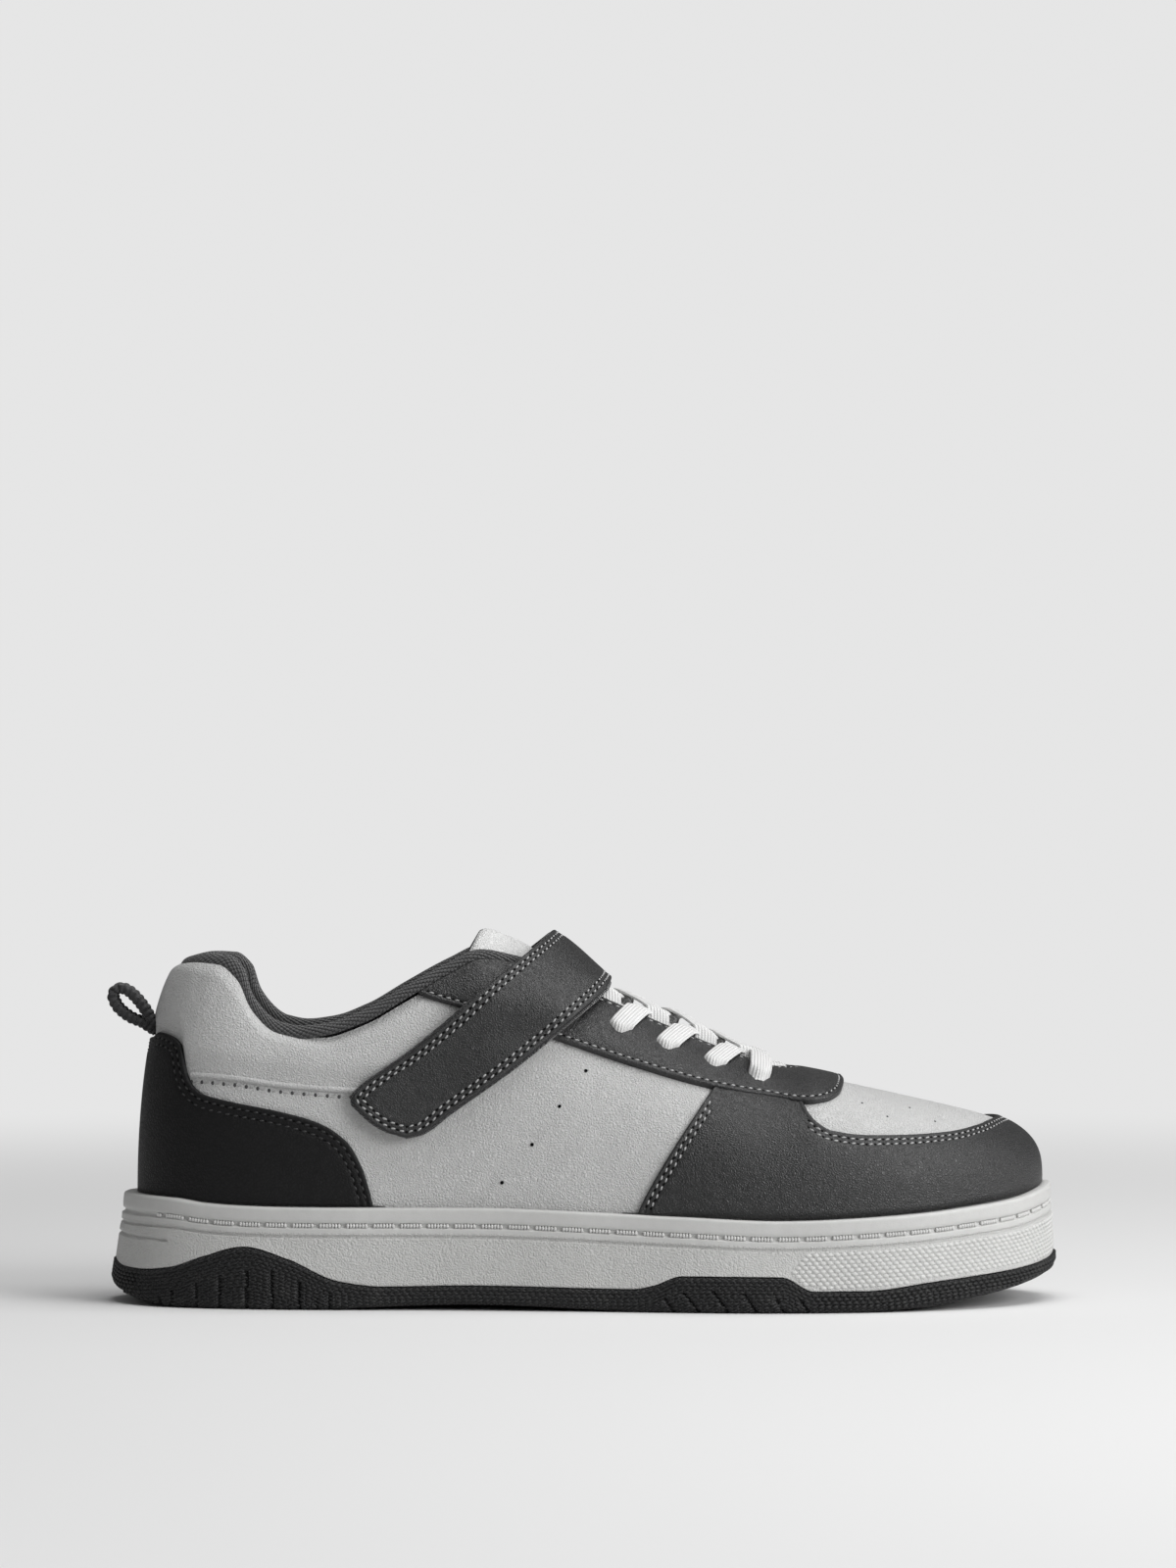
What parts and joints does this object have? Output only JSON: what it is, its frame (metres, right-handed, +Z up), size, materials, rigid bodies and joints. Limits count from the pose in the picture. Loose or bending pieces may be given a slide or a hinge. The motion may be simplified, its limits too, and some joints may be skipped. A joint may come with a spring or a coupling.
{
  "type": "low-top sneaker",
  "caption": "Low-top court sneaker, right shoe, with a cup sole, hollow leather upper, hook-and-loop strap over elastic laces, padded tongue and heel pull loop.",
  "frame": {"origin": "centre of the shoe's box on the ground plane", "axes": "+X to the toe, -Y to the lateral (outer) side, +Y to the medial side, +Z up"},
  "size_m": [0.2534, 0.094, 0.1],
  "materials": {
    "dark_rubber": "matt, finely textured",
    "white_rubber": "matt, pebbled",
    "white_leather": "fine grain, satin",
    "dark_leather": "fine grain, satin",
    "dark_cloth": "woven",
    "dark_webbing": "ribbed webbing",
    "white_lace": "flat elastic weave"
  },
  "bodies": {
    "root": {"outsole": "dark_rubber", "midsole": "white_rubber", "insole": "dark_cloth", "upper": "white_leather", "heel_counter": "dark_leather", "toe_mudguard": "dark_leather", "eyestay": "dark_leather", "quarter_seam_lateral": "white_leather", "quarter_seam_medial": "white_leather", "collar_binding": "dark_cloth", "tongue": "white_leather", "strap": "dark_leather", "laces": "white_lace", "pull_loop": "dark_webbing"}
  },
  "joints": []
}
